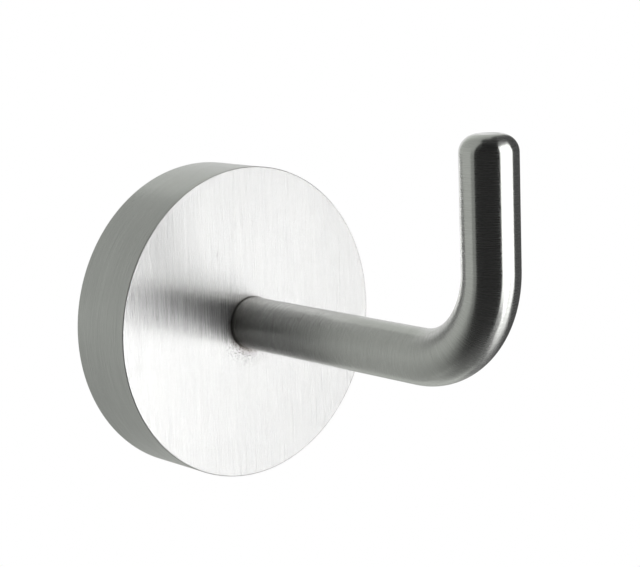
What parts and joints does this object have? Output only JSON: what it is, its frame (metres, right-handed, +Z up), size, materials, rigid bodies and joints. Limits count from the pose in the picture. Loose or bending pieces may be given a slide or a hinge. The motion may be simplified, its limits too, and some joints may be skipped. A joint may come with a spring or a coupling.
{
  "type": "coat hook",
  "caption": "Wall coat hook: a thick round rosette over a concealed wall plate, with a round bar that stands out and bends up to a rounded tip.",
  "frame": {"origin": "middle of the wall plate's rear face, on the line between the two wall screw holes", "axes": "+Y into the wall, so the hook projects towards -Y; +Z up, the way the hook's tip points"},
  "size_m": [0.048, 0.067, 0.0555],
  "materials": {
    "brushed_rosette": "linear brushed face, circular brushed rim",
    "brushed_bar": "brushed round the bar",
    "turned_plate": "turned, zinc plated",
    "stainless_screw": "satin",
    "spring_steel": "satin",
    "plain_washer": "satin",
    "dark_screw": "blackened"
  },
  "bodies": {
    "root": {"rosette": "brushed_rosette", "hook_rod": "brushed_bar", "wall_plate": "turned_plate", "rod_screw": "stainless_screw", "spring_washer": "spring_steel", "flat_washer": "plain_washer", "grub_screw": "dark_screw"}
  },
  "joints": []
}
